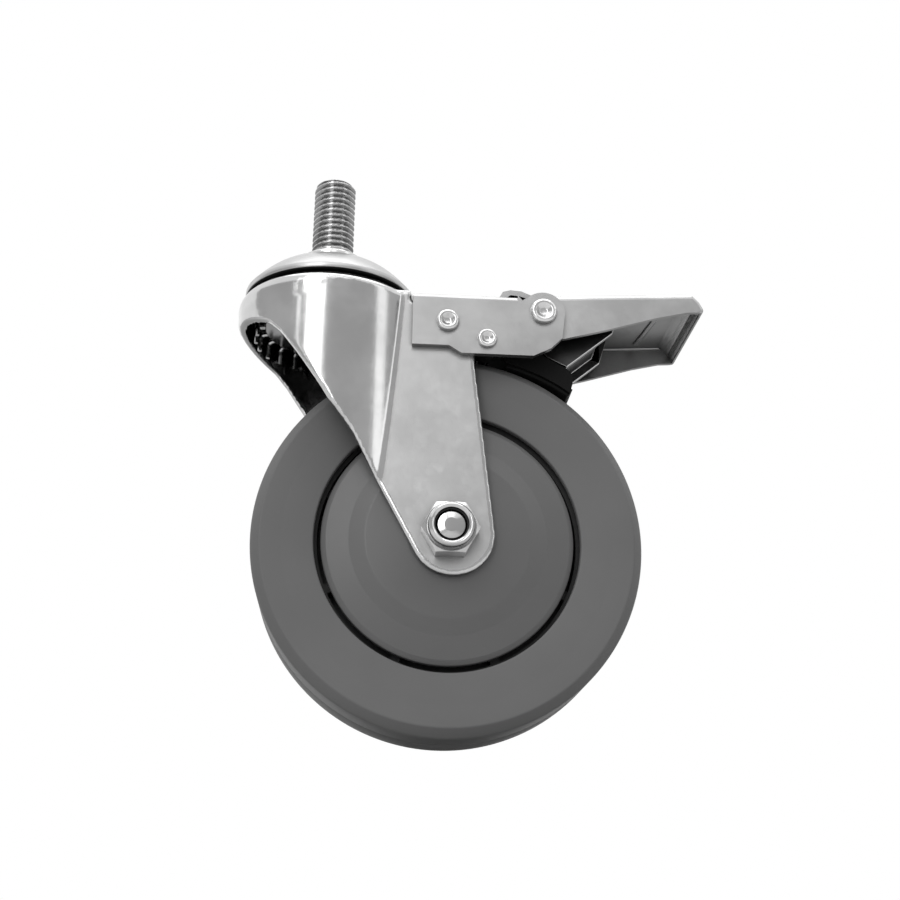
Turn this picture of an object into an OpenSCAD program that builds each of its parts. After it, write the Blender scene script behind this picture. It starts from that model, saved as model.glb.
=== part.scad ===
// Swivel castor with a threaded stem, a soft-tyred wheel and a pedal brake
// that holds the wheel and the swivel together. Millimetres.
// The origin is on the swivel axis, on the shoulder that the stem is screwed down to.
// +Z runs up the stem, +X points to the pedal, and the wheel's axle lies along Y.

/* [Wheel] */
// Diameter over the tread
wheel_d = 101.6; // [96:0.2:104]
// Width of the tyre
tread_w = 27; // [24:0.5:28]
// Radius of the tyre's shoulders
shoulder_r = 2.2; // [1:0.1:4]
// Thickness of the soft tyre on the hub
tyre_t = 14; // [10:0.5:16]
// Distance from the swivel axis back to the axle
trail = 33.5; // [32:0.5:36]
// Drop from the stem's shoulder to the axle
axle_drop = 85; // [84:0.5:90]

/* [Hub and axle] */
// Diameter of the axle bolt
axle_d = 8; // [8:0.1:8.4]
// Width of the bolt's hexagon head and nut across the flats
hex_af = 13; // [12:0.5:14]
// Height of the bolt's head
bolt_head_h = 5.3; // [4:0.1:6]
// Height of the lock nut
nut_h = 8; // [7.5:0.1:9]
// Outside diameter of each ball bearing
bearing_od = 22; // [22:0.5:26]
// Width of each ball bearing
bearing_w = 7; // [6:0.5:8]
// Radius of the thread guard discs
guard_r = 32.8; // [28:0.2:33]
// Open ring between a guard disc and the tyre
guard_gap = 1.8; // [1:0.1:3]

/* [Stem and swivel head] */
// Diameter of the threaded stem
stem_d = 12; // [10:0.5:12]
// Length of the stem above its shoulder
stem_len = 25; // [15:1:50]
// Diameter of the kingpin below the shoulder
kingpin_d = 10; // [9:0.5:11]
// Diameter of the shoulder collar
collar_d = 18; // [15:0.5:19]
// Height of the shoulder collar
collar_h = 3; // [2:0.1:3.4]
// Radius of the domed cap
cap_r = 23.8; // [23.4:0.1:24]
// Diameter of the upper balls
upper_ball_d = 5.8; // [5.6:0.1:5.9]
// Diameter of the lower balls
lower_ball_d = 3.6; // [3.2:0.1:3.8]
// Number of fingers on the swivel lock ring
finger_count = 24; // [24:24:24]
// Length of the lock ring's fingers
finger_len = 5.4; // [4.8:0.1:5.6]

/* [Fork] */
// Clear width between the legs
fork_gap = 31.6; // [30.8:0.2:33]
// Thickness of the fork's steel sheet
sheet_t = 2.3; // [2:0.1:2.5]
// Radius of the crown
crown_r = 25.4; // [25:0.1:26]
// Radius of the rounded wall that runs from the crown down into the legs' fronts
skirt_r = 26.7; // [26.3:0.1:27.2]
// Radius of the rounded leg ends
leg_end_r = 10.9; // [10:0.1:12]

/* [Brake] */
// Thickness of the brake housing's sheet
housing_t = 1.8; // [1.5:0.1:2]
// Thickness of the pedal's sheet
pedal_t = 1.2; // [1:0.1:1.6]
// Diameter of the pedal's pivot pin
pedal_pin_d = 5; // [4.5:0.1:6]
// Diameter of the brake arm's pivot pin
arm_pin_d = 4; // [3.5:0.1:4.4]
// Thickness of the brake arm's sheet
arm_t = 1.6; // [1.2:0.1:2]
// Angle that the pedal is pressed down through
pedal_press = 25; // [20:1:25]
// Angle that the brake arm turns through with it
arm_swing = 2; // [1:0.5:3]

/* [Clearances] */
// Running clearance on a radius
run_gap = 0.05; // [0.03:0.01:0.1]
// Clearance between a ball and its race
ball_gap = 0.03; // [0.02:0.01:0.06]
// Side clearance between moving sheet parts
side_gap = 0.3; // [0.2:0.05:0.5]

/* [Hidden] */
$fn = 72;
eps = 0.01;

wheel_r = wheel_d / 2;
axle_r = axle_d / 2;
half_gap = fork_gap / 2;
leg_y = half_gap + sheet_t;
housing_y = leg_y + housing_t;

// Heights in the swivel head, below the stem's shoulder
cap_top = -collar_h;
cap_rim = -13.3;
crown_top = -14.4;
crown_under = crown_top - sheet_t;
upper_ball_r = upper_ball_d / 2;
lower_ball_r = lower_ball_d / 2;
upper_groove = 0.6;
lower_groove = 0.35;
race_groove = 0.75;
upper_ball_z = crown_top - upper_groove + upper_ball_r;
lower_ball_z = crown_under + lower_groove - lower_ball_r;
lower_ball_pitch = kingpin_d / 2 + 5.2;
lower_ball_count = 16;
race_top = lower_ball_z - lower_ball_r + race_groove;
race_h = 1.6;
race_r = lower_ball_pitch + 3;
ring_top = race_top - race_h;
ring_t = 1.2;
ring_gap = 2.5;
ring_r = crown_r - sheet_t - ring_gap;
finger_w = 1.7;
kingpin_r = kingpin_d / 2;
rivet_h = 2;
bell_r = 4.2;
skirt_x = 1.33;
skirt_in = 1.3;
skirt_lean = 3.8;

// Inside of the cap: a cone that the upper balls run on
cap_wall = 2.3;
cap_cone_r = collar_d / 2 + 0.5;
cap_cone_z = cap_top - cap_wall;
cap_cone_slope = 0.45;
cap_lip = 3.1;
cap_cone_normal = sqrt(1 + cap_cone_slope * cap_cone_slope);
upper_ball_pitch = cap_cone_r
    + (cap_cone_z - upper_ball_z - (upper_ball_r + ball_gap) * cap_cone_normal) / cap_cone_slope;
upper_ball_count = floor(PI * 2 * upper_ball_pitch / (upper_ball_d + 0.6));

// Brake housing, pins and rivets, in the side view
housing_front = 22.8;
web_front = crown_r + 1.4;
web_back = 51.2;
housing_top = -18;
housing_low = -33.6;
housing_step = -35.7;
rivet_at = [32.2, -26.6];
arm_pin_at = [42.8, -31.4];
pedal_pin_at = [58.1, -22.7];
lobe_r = 5.9;
rivet_r = 2.2;
rivet_head_r = 3.3;
arm_head_r = 2.8;
pedal_head_r = 3.9;
head_h = 1.6;
housing_bend = 1.6;

// Pedal, in the side view
pedal_nose = 46.5;
pedal_tip = 103.2;
pedal_web_z = -16.1;
pedal_slope = 3.65;
pedal_fold = 2;
pedal_y = leg_y - side_gap;
pedal_low = -19.3;
cam_y = 11;

// Wheel, across the axle
bearing_r = bearing_od / 2;
bearing_out = 12.3;
bearing_in = bearing_out - bearing_w;
inner_ring_r = axle_r + 2.2;
outer_ring_r = bearing_r - 2.2;
race_ball_r = 1.9;
race_pitch = (inner_ring_r + outer_ring_r) / 2;
race_ball_count = 7;
shield_t = 0.4;
guard_hub_r = axle_r + 1.8;
guard_t = 1.8;
guard_hub_y = half_gap;
guard_rim_y = 12;
guard_edge = 2.4;
guard_core_gap = 1;
core_half = guard_rim_y - guard_edge - guard_core_gap;
tyre_in_r = wheel_r - tyre_t;
face_y = tread_w / 2 - 1.3;

// Places a flat shape drawn in the side view between two widths
module side_slab(y0, y1) {
    translate([0, y1, 0]) rotate([90, 0, 0]) linear_extrude(y1 - y0) children();
}

// The same slab on both sides of the castor
module both_sides(y0, y1) {
    side_slab(y0, y1) children();
    side_slab(-y1, -y0) children();
}

// Rotates its children about a pin seen in the side view
module about_pin(at, angle) {
    translate([at[0], 0, at[1]]) rotate([0, -angle, 0]) translate([-at[0], 0, -at[1]]) children();
}

// A body of revolution on the wheel's axle, drawn as radius and width
module on_axle() {
    translate([trail, 0, -axle_drop]) rotate([90, 0, 0]) rotate_extrude() children();
}

// A straight pin across the castor at a point of the side view
module cross_pin(at, r, y0, y1) {
    translate([at[0], y1, at[1]]) rotate([90, 0, 0]) cylinder(r = r, h = y1 - y0);
}

// A ring of balls about the swivel axis
module ball_ring(count, pitch, r, z) {
    for (i = [0 : count - 1])
        rotate([0, 0, i * 360 / count]) translate([pitch, 0, z]) sphere(r = r, $fn = 32);
}

// Round groove about the swivel axis
module groove(pitch, r, z) {
    translate([0, 0, z]) rotate_extrude() translate([pitch, 0]) circle(r = r, $fn = 32);
}

// Outline of the domed cap, from the shoulder down to the rim
function cap_outline(steps) = [
    for (i = [0 : steps])
        let (a = 90 * i / steps)
        [cap_cone_r - 0.5 + (cap_r - cap_cone_r + 0.5) * sin(a),
         cap_rim + 1 + (cap_top - cap_rim - 1) * pow(cos(a), 2)]
];

// Threaded stem, shoulder collar, kingpin and its riveted end: one turned piece
module threaded_stem() {
    stem_r = stem_d / 2;
    chamfer = 1;
    pin_low = ring_top - ring_t;
    color("silver") rotate_extrude() polygon([
        [0, stem_len], [stem_r - chamfer, stem_len], [stem_r, stem_len - chamfer], [stem_r, 0],
        [collar_d / 2, 0], [collar_d / 2, cap_top],
        [kingpin_r, cap_top], [kingpin_r, pin_low],
        [kingpin_r + 2.5, pin_low], [kingpin_r + 2.2, pin_low - rivet_h * 0.7],
        [kingpin_r, pin_low - rivet_h], [0, pin_low - rivet_h]
    ]);
}

// Domed cap: the upper race of the swivel bearing, clamped under the collar
module head_cap() {
    cone_end = cap_r - cap_lip;
    color("gainsboro") rotate_extrude() polygon(concat(
        [[kingpin_r, cap_top]],
        cap_outline(12),
        [[cap_r, cap_rim], [cone_end, cap_rim],
         [cone_end, cap_cone_z - cap_cone_slope * (cone_end - cap_cone_r)],
         [cap_cone_r, cap_cone_z], [kingpin_r, cap_cone_z]]
    ));
}

// Dust seal between the cap and the crown
module dust_seal() {
    seal_r = cap_r - 0.4;
    seal_w = 1.5;
    color("black") rotate_extrude() polygon([
        [seal_r - seal_w, cap_rim], [seal_r, cap_rim],
        [seal_r, crown_top + 0.3], [seal_r - seal_w, crown_top + 0.3]
    ]);
}

// Lower race, a hardened ring under the crown
module lower_race() {
    color("dimgray") difference() {
        rotate_extrude() polygon([
            [kingpin_r, ring_top], [race_r, ring_top],
            [race_r, race_top - 0.3], [race_r - 0.3, race_top], [kingpin_r, race_top]
        ]);
        groove(lower_ball_pitch, lower_ball_r + ball_gap, lower_ball_z);
    }
}

// Swivel lock ring: a plate with fingers bent down round its rim
module lock_ring() {
    color("silver") difference() {
        union() {
            translate([0, 0, ring_top - ring_t]) cylinder(r = ring_r, h = ring_t);
            translate([0, 0, ring_top - finger_len]) intersection() {
                difference() {
                    cylinder(r = ring_r, h = finger_len - ring_t / 2);
                    translate([0, 0, -1]) cylinder(r = ring_r - ring_t, h = finger_len + 2);
                }
                for (i = [0 : finger_count - 1])
                    rotate([0, 0, i * 360 / finger_count])
                        translate([ring_r / 2, -finger_w / 2, 0]) cube([ring_r, finger_w, finger_len]);
            }
        }
        translate([0, 0, ring_top - ring_t - 1]) cylinder(r = kingpin_r, h = ring_t + 2);
        // Slots that run in between the fingers
        for (i = [0 : finger_count - 1])
            rotate([0, 0, (i + 0.5) * 360 / finger_count])
                translate([ring_r - 2.2, -finger_w * 0.9, ring_top - ring_t - 1])
                    cube([ring_r, finger_w * 1.8, ring_t + 2]);
    }
}

module upper_balls() {
    color("lightgray") ball_ring(upper_ball_count, upper_ball_pitch, upper_ball_r, upper_ball_z);
}

module lower_balls() {
    color("lightgray") ball_ring(lower_ball_count, lower_ball_pitch, lower_ball_r, lower_ball_z);
}

// Bell of the fork: crown, rounded shoulder and the sides that run down into the legs
function bell_outline(inset) = [
    for (a = [0 : 15 : 90])
        [crown_r - bell_r + (bell_r - inset) * sin(a), crown_top - bell_r + (bell_r - inset) * cos(a)],
    [crown_r - 0.2 - inset, crown_top - 6.3],
    [crown_r - 0.9 - inset, crown_top - 9.8],
    [crown_r - 1.8 - inset, crown_top - 14],
    [crown_r - 2.7 - inset, crown_top - 20],
    [crown_r - 3.4 - inset, crown_top - 28],
    [crown_r - 3.9 - inset, crown_top - 40],
    [crown_r - 4.2 - inset, crown_top - 80]
];

module bell(inset) {
    rotate_extrude() polygon(concat(
        [[0, crown_top - 80], [0, crown_top - inset]],
        bell_outline(inset)
    ));
}

// Side view of the whole fork: the arch at the front, the slanting front edge,
// the round leg end on the axle and the rear edge
module fork_side() {
    leg_centre = [trail + 0.8, -axle_drop - 0.2];
    rear_x = trail + 6.4;
    translate(leg_centre) circle(r = leg_end_r);
    polygon([
        [-crown_r - 1, crown_top + 1], [-crown_r - 1, -21.6],
        [-24, -23.2], [-19.5, -25.7], [-15.6, -27.8], [-12.1, -31.5], [-7.3, -38.2],
        [-2.1, -45.8], [1.6, -51.5], [8, -59.9],
        [leg_centre[0] - leg_end_r * cos(29), leg_centre[1] - leg_end_r * sin(29)],
        leg_centre,
        [leg_centre[0] + leg_end_r * cos(5), leg_centre[1] + leg_end_r * sin(5)],
        [rear_x, -39], [rear_x - 0.6, housing_top - housing_t - 2.6],
        [rear_x - 3, housing_top - housing_t - side_gap],
        [crown_r, housing_top - housing_t - side_gap], [crown_r, crown_top + 1]
    ]);
}

// Rounded wall below the shoulder: its near and far faces lean in towards the wheel
module skirt(inset) {
    top_r = skirt_r + skirt_x;
    round_r = bell_r * 2;
    intersection() {
        skirt_face(1, inset);
        skirt_face(-1, inset);
        rotate_extrude() polygon(concat(
            [[0, crown_top - 80], [0, crown_top - inset]],
            [for (a = [0 : 15 : 90])
                [top_r - round_r + (round_r - inset) * sin(a), crown_top - round_r + (round_r - inset) * cos(a)]],
            [[top_r - inset, crown_top - 80]]
        ));
    }
}

module skirt_face(side, inset) {
    translate([skirt_x, side * skirt_in, crown_top - bell_r]) rotate([side * skirt_lean, 0, 0])
        translate([0, 0, -80]) cylinder(r = skirt_r - inset, h = 90);
}

module fork() {
    rear_skirt = -21.8;
    color("silver") difference() {
        union() {
            intersection() {
                union() {
                    bell(0);
                    skirt(0);
                }
                side_slab(-crown_r - 3, crown_r + 3) fork_side();
            }
            both_sides(half_gap, leg_y) intersection() {
                fork_side();
                union() {
                    translate([-8, -axle_drop * 2])
                        square([housing_front - side_gap + 8, axle_drop * 2 + crown_under]);
                    translate([-8, -axle_drop * 2])
                        square([trail + 40, axle_drop * 2 + housing_top - housing_t - side_gap]);
                }
            }
        }
        bell(sheet_t);
        skirt(sheet_t);
        // The channel that the wheel turns in
        translate([-8, -half_gap, -axle_drop - 40]) cube([trail + 50, fork_gap, axle_drop + 40 + rear_skirt]);
        // Kingpin hole and the groove of each ball race
        translate([0, 0, crown_under - 1]) cylinder(r = kingpin_r + 1.5, h = sheet_t + 2);
        groove(upper_ball_pitch, upper_ball_r + ball_gap, upper_ball_z);
        groove(lower_ball_pitch, lower_ball_r + ball_gap, lower_ball_z);
        // Axle and rivet holes
        cross_pin([trail, -axle_drop], axle_r, -leg_y - 1, leg_y + 1);
        cross_pin(rivet_at, rivet_r, -leg_y - 1, leg_y + 1);
    }
}

// Side view of a housing plate: stepped lower edge, round lobe at the pedal's pin
module housing_side() {
    translate(pedal_pin_at) circle(r = lobe_r);
    polygon([
        [housing_front, housing_top - 0.4], [housing_front, housing_low], [32.6, housing_low],
        [36, housing_step], [55.3, housing_step], [60, housing_step + 2.4],
        [63.1, -30.2], [pedal_pin_at[0] + lobe_r, pedal_pin_at[1]], pedal_pin_at,
        [53.6, pedal_pin_at[1] + 4], [52.4, -19.4], [web_back, housing_top]
    ]);
}

// Brake housing: one sheet folded over the rear of the fork
module brake_housing() {
    color("darkgray") difference() {
        union() {
            both_sides(leg_y, housing_y) intersection() {
                housing_side();
                union() {
                    translate([0, -60]) square([90, 60 + housing_top - housing_bend]);
                    translate([web_back, -60]) square([90, 60]);
                }
            }
            // Top web with a rounded fold at each side
            intersection() {
                translate([housing_front, 0, 0]) rotate([90, 0, 90])
                    linear_extrude(web_back - housing_front) housing_fold();
                union() {
                    translate([web_front, -housing_y, housing_top - 5])
                        cube([web_back - web_front, 2 * housing_y, 5]);
                    translate([housing_front, -housing_y, housing_top - 5])
                        cube([web_front - housing_front, housing_y - leg_y + 1.2, 5]);
                    translate([housing_front, leg_y - 1.2, housing_top - 5])
                        cube([web_front - housing_front, housing_y - leg_y + 1.2, 5]);
                }
            }
        }
        cross_pin(rivet_at, rivet_r, -housing_y - 1, housing_y + 1);
        cross_pin(arm_pin_at, arm_pin_d / 2, -housing_y - 1, housing_y + 1);
        cross_pin(pedal_pin_at, pedal_pin_d / 2, -housing_y - 1, housing_y + 1);
    }
}

// Section of the housing's top web and its folds, seen along X
module housing_fold() {
    outer = housing_bend + 0.4;
    difference() {
        union() {
            translate([-housing_y + outer, housing_top - housing_t]) square([2 * (housing_y - outer), housing_t]);
            for (s = [-1, 1]) translate([s * (housing_y - outer), housing_top - outer])
                intersection() {
                    circle(r = outer, $fn = 48);
                    translate([s > 0 ? 0 : -outer, 0]) square([outer, outer]);
                }
            for (s = [-1, 1]) translate([s > 0 ? leg_y : -housing_y, housing_top - housing_bend - 0.5])
                square([housing_t, 0.5 + housing_bend - outer + eps]);
        }
        for (s = [-1, 1]) translate([s * (housing_y - outer), housing_top - outer])
            circle(r = outer - housing_t, $fn = 48);
    }
}

// A formed rivet head with a raised rim and a dimple, its top on the plane z = 0 side up
module rivet_head(r, h) {
    rotate_extrude() polygon([
        [0, 0], [r, 0], [r, h * 0.45], [r * 0.88, h * 0.85], [r * 0.72, h],
        [r * 0.58, h * 0.9], [r * 0.42, h * 0.45], [0, h * 0.3]
    ]);
}

// Places a head on the near and the far side
module on_both_faces(at, y) {
    translate([at[0], -y, at[1]]) rotate([90, 0, 0]) children();
    translate([at[0], y, at[1]]) rotate([-90, 0, 0]) children();
}

// Rivets that hold the housing to the legs
module housing_rivets() {
    color("lightgray") for (s = [-1, 1]) {
        y0 = s > 0 ? half_gap : -housing_y;
        cross_pin(rivet_at, rivet_r, y0, y0 + sheet_t + housing_t);
        translate([rivet_at[0], s * housing_y, rivet_at[1]]) rotate([s > 0 ? -90 : 90, 0, 0])
            rivet_head(rivet_head_r, head_h);
        translate([rivet_at[0], s * half_gap, rivet_at[1]]) rotate([s > 0 ? 90 : -90, 0, 0])
            cylinder(r1 = rivet_head_r, r2 = rivet_head_r - 0.5, h = 0.8);
    }
}

// Pin that the brake arm turns on
module arm_pin() {
    color("lightgray") {
        cross_pin(arm_pin_at, arm_pin_d / 2, -housing_y, housing_y);
        on_both_faces(arm_pin_at, housing_y) rivet_head(arm_head_r, head_h * 0.8);
    }
}

// Pin that the pedal turns on
module pedal_pin() {
    color("lightgray") {
        cross_pin(pedal_pin_at, pedal_pin_d / 2, -housing_y, housing_y);
        on_both_faces(pedal_pin_at, housing_y) rivet_head(pedal_head_r, head_h);
    }
}

module hex_prism(af, h) {
    cylinder(r = af / sqrt(3), h = h, $fn = 6);
}

// Axle bolt with its hexagon head on the far side
module axle_bolt() {
    bolt_end = leg_y + nut_h - 0.9;
    color("lightgray") {
        cross_pin([trail, -axle_drop], axle_r, -bolt_end, leg_y);
        translate([trail, leg_y, -axle_drop]) rotate([-90, 0, 0]) intersection() {
            hex_prism(hex_af, bolt_head_h);
            cylinder(r1 = hex_af, r2 = hex_af / 2 * 0.97, h = bolt_head_h);
        }
    }
}

// Lock nut: hexagon and round collar
module axle_nut() {
    hex_h = nut_h * 0.66;
    collar_r = hex_af / 2 - 0.5;
    color("silver") translate([trail, -leg_y, -axle_drop]) rotate([90, 0, 0]) difference() {
        union() {
            hex_prism(hex_af, hex_h);
            cylinder(r = collar_r, h = nut_h - 0.6);
            translate([0, 0, nut_h - 0.6]) cylinder(r1 = collar_r, r2 = collar_r - 0.7, h = 0.6);
        }
        translate([0, 0, -1]) cylinder(r = axle_r, h = nut_h + 2);
        translate([0, 0, hex_h]) cylinder(r = axle_r + 0.9, h = nut_h);
    }
}

// Locking ring held in the nut's collar
module nut_insert() {
    hex_h = nut_h * 0.66;
    color("dimgray") translate([trail, -leg_y - hex_h, -axle_drop]) rotate([90, 0, 0]) difference() {
        cylinder(r = axle_r + 0.9, h = nut_h - hex_h - 1.2);
        translate([0, 0, -1]) cylinder(r = axle_r, h = nut_h);
    }
}

// Bushes between the legs and the bearings' inner rings
module axle_bushes() {
    color("gray") for (s = [-1, 1])
        translate([trail, s > 0 ? half_gap : -bearing_out, -axle_drop]) rotate([90, 0, 0]) difference() {
            cylinder(r = axle_r + 1.8, h = half_gap - bearing_out);
            translate([0, 0, -1]) cylinder(r = axle_r, h = half_gap);
        }
}

// Spacer tube between the two bearings
module spacer_tube() {
    color("gray") translate([trail, bearing_in, -axle_drop]) rotate([90, 0, 0]) difference() {
        cylinder(r = axle_r + 1.6, h = 2 * bearing_in);
        translate([0, 0, -1]) cylinder(r = axle_r, h = 2 * bearing_in + 2);
    }
}

// One ring of a ball bearing, with its groove, centred on the row of balls
module bearing_ring(r_in, r_out) {
    difference() {
        translate([r_in, -bearing_w / 2]) square([r_out - r_in, bearing_w]);
        translate([race_pitch, 0]) circle(r = race_ball_r + ball_gap, $fn = 32);
    }
}

module on_each_bearing() {
    for (s = [-1, 1]) translate([0, s * (bearing_in + bearing_w / 2), 0]) children();
}

module bearing_inner_rings() {
    color("silver") on_each_bearing() on_axle() bearing_ring(axle_r, inner_ring_r);
}

module bearing_outer_rings() {
    color("silver") on_each_bearing() on_axle() bearing_ring(outer_ring_r, bearing_r);
}

module bearing_balls() {
    color("lightgray") on_each_bearing() for (i = [0 : race_ball_count - 1])
        translate([trail, 0, -axle_drop]) rotate([0, i * 360 / race_ball_count, 0])
            translate([race_pitch, 0, 0]) sphere(r = race_ball_r, $fn = 32);
}

// Shields pressed into the outer rings
module bearing_shields() {
    color("dimgray") for (s = [-1, 1]) translate([0, s * (bearing_out - shield_t * 1.5), 0]) on_axle()
        translate([inner_ring_r + side_gap, -shield_t / 2])
            square([outer_ring_r - inner_ring_r - side_gap, shield_t]);
}

// Section of a thread guard: a shallow dish on a hub ring, drawn as radius and width
module guard_section() {
    polygon([
        [guard_hub_r, bearing_out + side_gap], [guard_hub_r, guard_hub_y],
        [guard_hub_r + 5, guard_hub_y], [guard_hub_r + 12, guard_hub_y - 0.5],
        [guard_r - 9, guard_rim_y + 1.9], [guard_r - 1.2, guard_rim_y + 0.1], [guard_r, guard_rim_y - 0.8],
        [guard_r, guard_rim_y - guard_edge], [guard_r - 1.4, guard_rim_y - guard_edge],
        [guard_r - 1.6, guard_rim_y - 1.6], [guard_r - 9.4, guard_rim_y + 1.9 - guard_t],
        [guard_hub_r + 11.6, guard_hub_y - 0.5 - guard_t],
        [guard_hub_r + 5, guard_hub_y - guard_t], [guard_hub_r + 2.5, guard_hub_y - guard_t],
        [guard_hub_r + 2.5, bearing_out + side_gap]
    ]);
}

module thread_guard_near() {
    color("dimgray") on_axle() guard_section();
}

module thread_guard_far() {
    color("dimgray") mirror([0, 1, 0]) on_axle() guard_section();
}

// Soft tyre, moulded round the hub core
module tyre() {
    tread_half = tread_w / 2;
    throat_r = guard_r + guard_gap;
    color("gray") on_axle() union() {
        for (s = [-1, 1]) translate([wheel_r - shoulder_r, s * (tread_half - shoulder_r)])
            circle(r = shoulder_r, $fn = 48);
        polygon(concat(
            [[tyre_in_r, -face_y + 2], [throat_r, -face_y + 2], [throat_r, -face_y]],
            [[wheel_r - shoulder_r, -tread_half], [wheel_r, -tread_half + shoulder_r]],
            [[wheel_r, tread_half - shoulder_r], [wheel_r - shoulder_r, tread_half]],
            [[throat_r, face_y], [throat_r, face_y - 2], [tyre_in_r, face_y - 2]]
        ));
    }
}

// Rigid hub core: rim, web and the barrel that holds the bearings
module hub_core() {
    rim_r = tyre_in_r;
    rim_t = 3;
    barrel_r = bearing_r + 3;
    rim_half = core_half;
    color("dimgray") difference() {
        union() {
            on_axle() polygon([
                [rim_r - rim_t, -rim_half], [rim_r, -rim_half], [rim_r, rim_half], [rim_r - rim_t, rim_half]
            ]);
            on_axle() translate([bearing_r - 2, -2]) square([rim_r - rim_t - bearing_r + 2.5, 4]);
            on_axle() translate([bearing_r - 2, -bearing_out + shield_t])
                square([barrel_r - bearing_r + 2, 2 * (bearing_out - shield_t)]);
            // Ribs between the barrel and the rim
            for (i = [0 : 7]) translate([trail, 0, -axle_drop]) rotate([0, i * 45 + 22.5, 0])
                translate([barrel_r - 1, -7, -1.25]) cube([rim_r - rim_t - barrel_r + 1.5, 14, 2.5]);
        }
        for (s = [-1, 1]) translate([trail, s > 0 ? bearing_out + 1 : -bearing_in, -axle_drop])
            rotate([90, 0, 0]) cylinder(r = bearing_r, h = bearing_w + 1);
    }
}

// Side view of the pedal: round the pin, then tapering to the rounded tip
module pedal_outline() {
    translate(pedal_pin_at) circle(r = lobe_r);
    polygon([
        [pedal_pin_at[0] - 2.4, pedal_pin_at[1] + 5.3], [pedal_pin_at[0] - 1.4, pedal_web_z + 1],
        [94, -10], [pedal_tip - 5.9, -13.7], [pedal_tip - 4, -14.2], [pedal_tip - 2.6, -15],
        [pedal_tip - 1.3, -16.4], [pedal_tip - 0.4, -18.2], [pedal_tip, pedal_low + 0.2],
        [pedal_tip - 0.7, pedal_low - 0.3], [pedal_tip - 2.2, pedal_low - 0.4], [98, pedal_low - 0.6], [89.7, pedal_low - 2.6], [75.3, -26.3],
        [63.5, -29.5], [pedal_pin_at[0], pedal_pin_at[1] - lobe_r + 0.2]
    ]);
}

// Rounded channel that follows the slope of the pedal's top
module pedal_section(inset) {
    half = pedal_y - inset;
    r = pedal_fold - inset;
    translate([60, 0, pedal_web_z]) rotate([0, -pedal_slope, 0]) translate([-20, 0, -inset])
        rotate([90, 0, 90]) linear_extrude(80) polygon(concat(
            [[-half, -30]],
            [for (a = [180 : -15 : 90]) [-half + r + r * cos(a), -r + r * sin(a)]],
            [for (a = [90 : -15 : 0]) [half - r + r * cos(a), -r + r * sin(a)]],
            [[half, -30]]
        ));
}

// Pedal: a pressed channel with a closed end, and a nose that stops on the housing
module pedal() {
    nose_half = half_gap + 1;
    color("lightgray") difference() {
        union() {
            difference() {
                intersection() {
                    side_slab(-pedal_y, pedal_y) pedal_outline();
                    pedal_section(0);
                }
                intersection() {
                    pedal_section(pedal_t);
                    side_slab(-pedal_y + pedal_t, pedal_y - pedal_t) polygon([
                        [40, -38], [pedal_tip - pedal_t, -38], [pedal_tip - pedal_t, pedal_low + 0.3],
                        [pedal_tip - pedal_t - 0.4, -18.4], [pedal_tip - pedal_t - 1.2, -16.9],
                        [pedal_tip - pedal_t - 2.3, -15.8], [pedal_tip - pedal_t - 3.5, -15.1],
                        [pedal_tip - pedal_t - 5, -14.7], [90, -10], [40, -10]
                    ]);
                }
            }
            side_slab(-nose_half, nose_half) polygon([
                [pedal_nose, -17.2], [pedal_nose + 0.9, -15.5], [pedal_nose + 3, -14.9],
                [pedal_nose + 6, -15.1], [pedal_nose + 8.6, -16.2], [60.4, pedal_web_z - 0.3],
                [60.4, pedal_web_z - 1.1], [pedal_nose + 8.6, -17.6], [pedal_nose + 5.4, -16.6],
                [pedal_nose + 3, -16.4], [pedal_nose + 1.6, -17.6], [pedal_nose + 0.4, -17.7]
            ]);
        }
        cross_pin(pedal_pin_at, pedal_pin_d / 2 + run_gap, -pedal_y - 1, pedal_y + 1);
    }
}

// Height of the underside of the pedal's web
function pedal_under(x) = pedal_web_z - pedal_t / cos(pedal_slope) + (x - 60) * tan(pedal_slope);

// Side view of the cam lever's cheek
module cam_cheek() {
    translate(pedal_pin_at) circle(r = 4.4);
    polygon([
        [pedal_pin_at[0] - 1, pedal_pin_at[1] - 4.2], [60, -31.8], [65.6, -34.6], [78.6, -23.9],
        [81, pedal_under(81)], [pedal_pin_at[0] + 2, pedal_under(pedal_pin_at[0] + 2)],
        [pedal_pin_at[0] + 1, pedal_pin_at[1] + 4]
    ]);
}

// Cam lever under the pedal: a folded channel that pushes the brake arm down
module cam_lever() {
    color("gray") difference() {
        union() {
            both_sides(cam_y - arm_t, cam_y) cam_cheek();
            side_slab(-cam_y, cam_y) polygon([
                [63.4, -33], [76.2, -22.4], [78.4, pedal_under(78.4)], [76.6, pedal_under(76.6)],
                [75, -21.4], [62.4, -31.8]
            ]);
        }
        cross_pin(pedal_pin_at, pedal_pin_d / 2 + run_gap, -cam_y - 1, cam_y + 1);
    }
}

// A point on a circle about the axle, given by its angle and radius
function about_axle(a, r) = [trail + r * cos(a), -axle_drop + r * sin(a)];

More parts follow.
